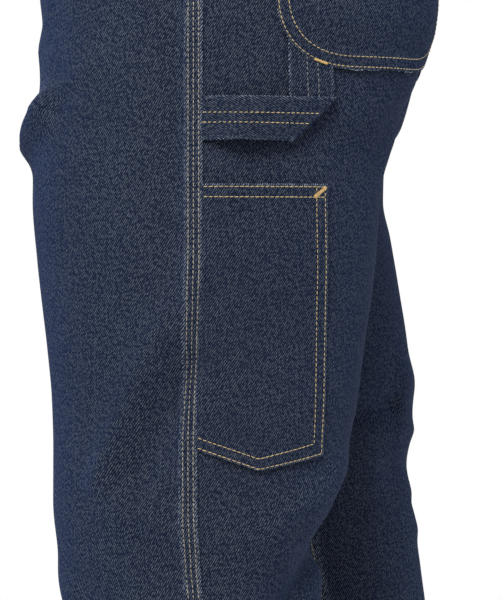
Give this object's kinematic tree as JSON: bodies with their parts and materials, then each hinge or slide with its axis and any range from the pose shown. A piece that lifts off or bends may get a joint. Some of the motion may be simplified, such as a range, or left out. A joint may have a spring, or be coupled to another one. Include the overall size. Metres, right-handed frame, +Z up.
{
  "type": "carpenter pants",
  "caption": "Raw indigo denim carpenter pants in their worn form, with a hammer loop and a pointed rule pocket on the left leg.",
  "frame": {"origin": "middle of the waist at half the waistband's height", "axes": "front faces -Y, the wearer's left is +X, +Z is up through the open waist"},
  "size_m": [0.393, 0.3418, 1.0794],
  "materials": {
    "denim": "raw indigo twill with a light fleck",
    "button_metal": "satin copper tone"
  },
  "bodies": {
    "root": {"front_left": "denim", "front_right": "denim", "back_left": "denim", "back_right": "denim", "yoke_left": "denim", "yoke_right": "denim", "waistband": "denim", "fly_shield": "denim", "pocket_facing_left": "denim", "pocket_facing_right": "denim", "back_pocket_left": "denim", "back_pocket_right": "denim", "rule_pocket": "denim", "hammer_loop": "denim", "belt_loop_front_left": "denim", "belt_loop_side_left": "denim", "belt_loop_back": "denim", "belt_loop_side_right": "denim", "belt_loop_front_right": "denim", "waist_button": "button_metal"}
  },
  "joints": []
}
